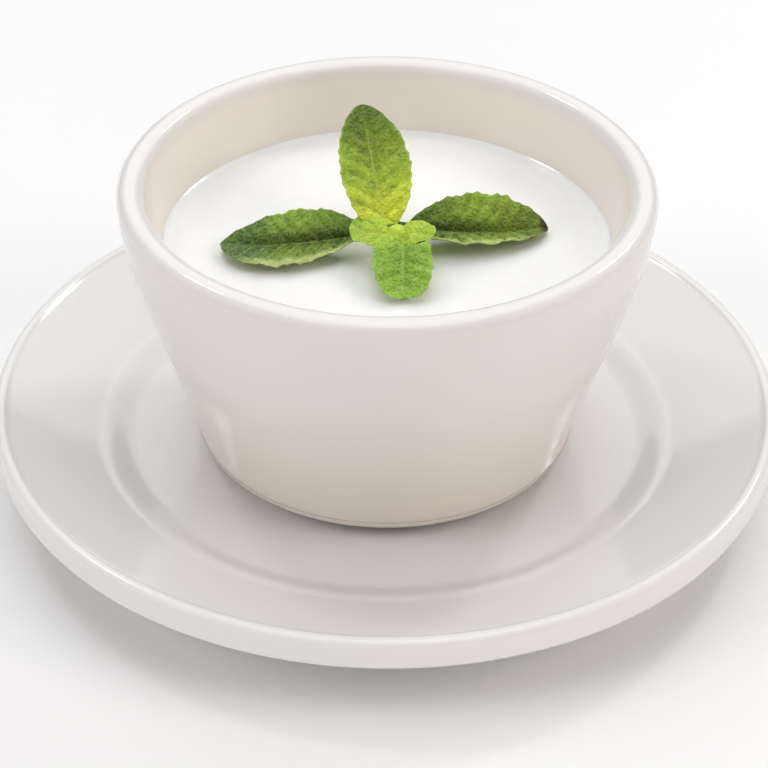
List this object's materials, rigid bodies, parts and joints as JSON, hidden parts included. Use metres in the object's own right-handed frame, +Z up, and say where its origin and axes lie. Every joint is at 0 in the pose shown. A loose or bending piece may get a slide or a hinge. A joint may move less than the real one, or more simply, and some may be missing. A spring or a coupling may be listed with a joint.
{
  "type": "bowl of yogurt",
  "caption": "White cup-shaped bowl on its saucer, filled with smooth white yogurt, with a sprig of mint leaves lying on top",
  "frame": {"origin": "under the middle of the saucer, on the surface it stands on", "axes": "+Z up; -Y towards the front, where the viewer of the bowl sits; +X to the viewer's right"},
  "size_m": [0.1528, 0.1528, 0.0705],
  "materials": {
    "saucer_glaze": "glossy white glaze",
    "bowl_glaze": "glossy warm white glaze",
    "yogurt": "smooth, moist, softly shining",
    "mint": "satin leaf with veins"
  },
  "bodies": {
    "root": {"saucer": "saucer_glaze", "bowl": "bowl_glaze", "yogurt": "yogurt", "mint_sprig": "mint"}
  },
  "joints": []
}
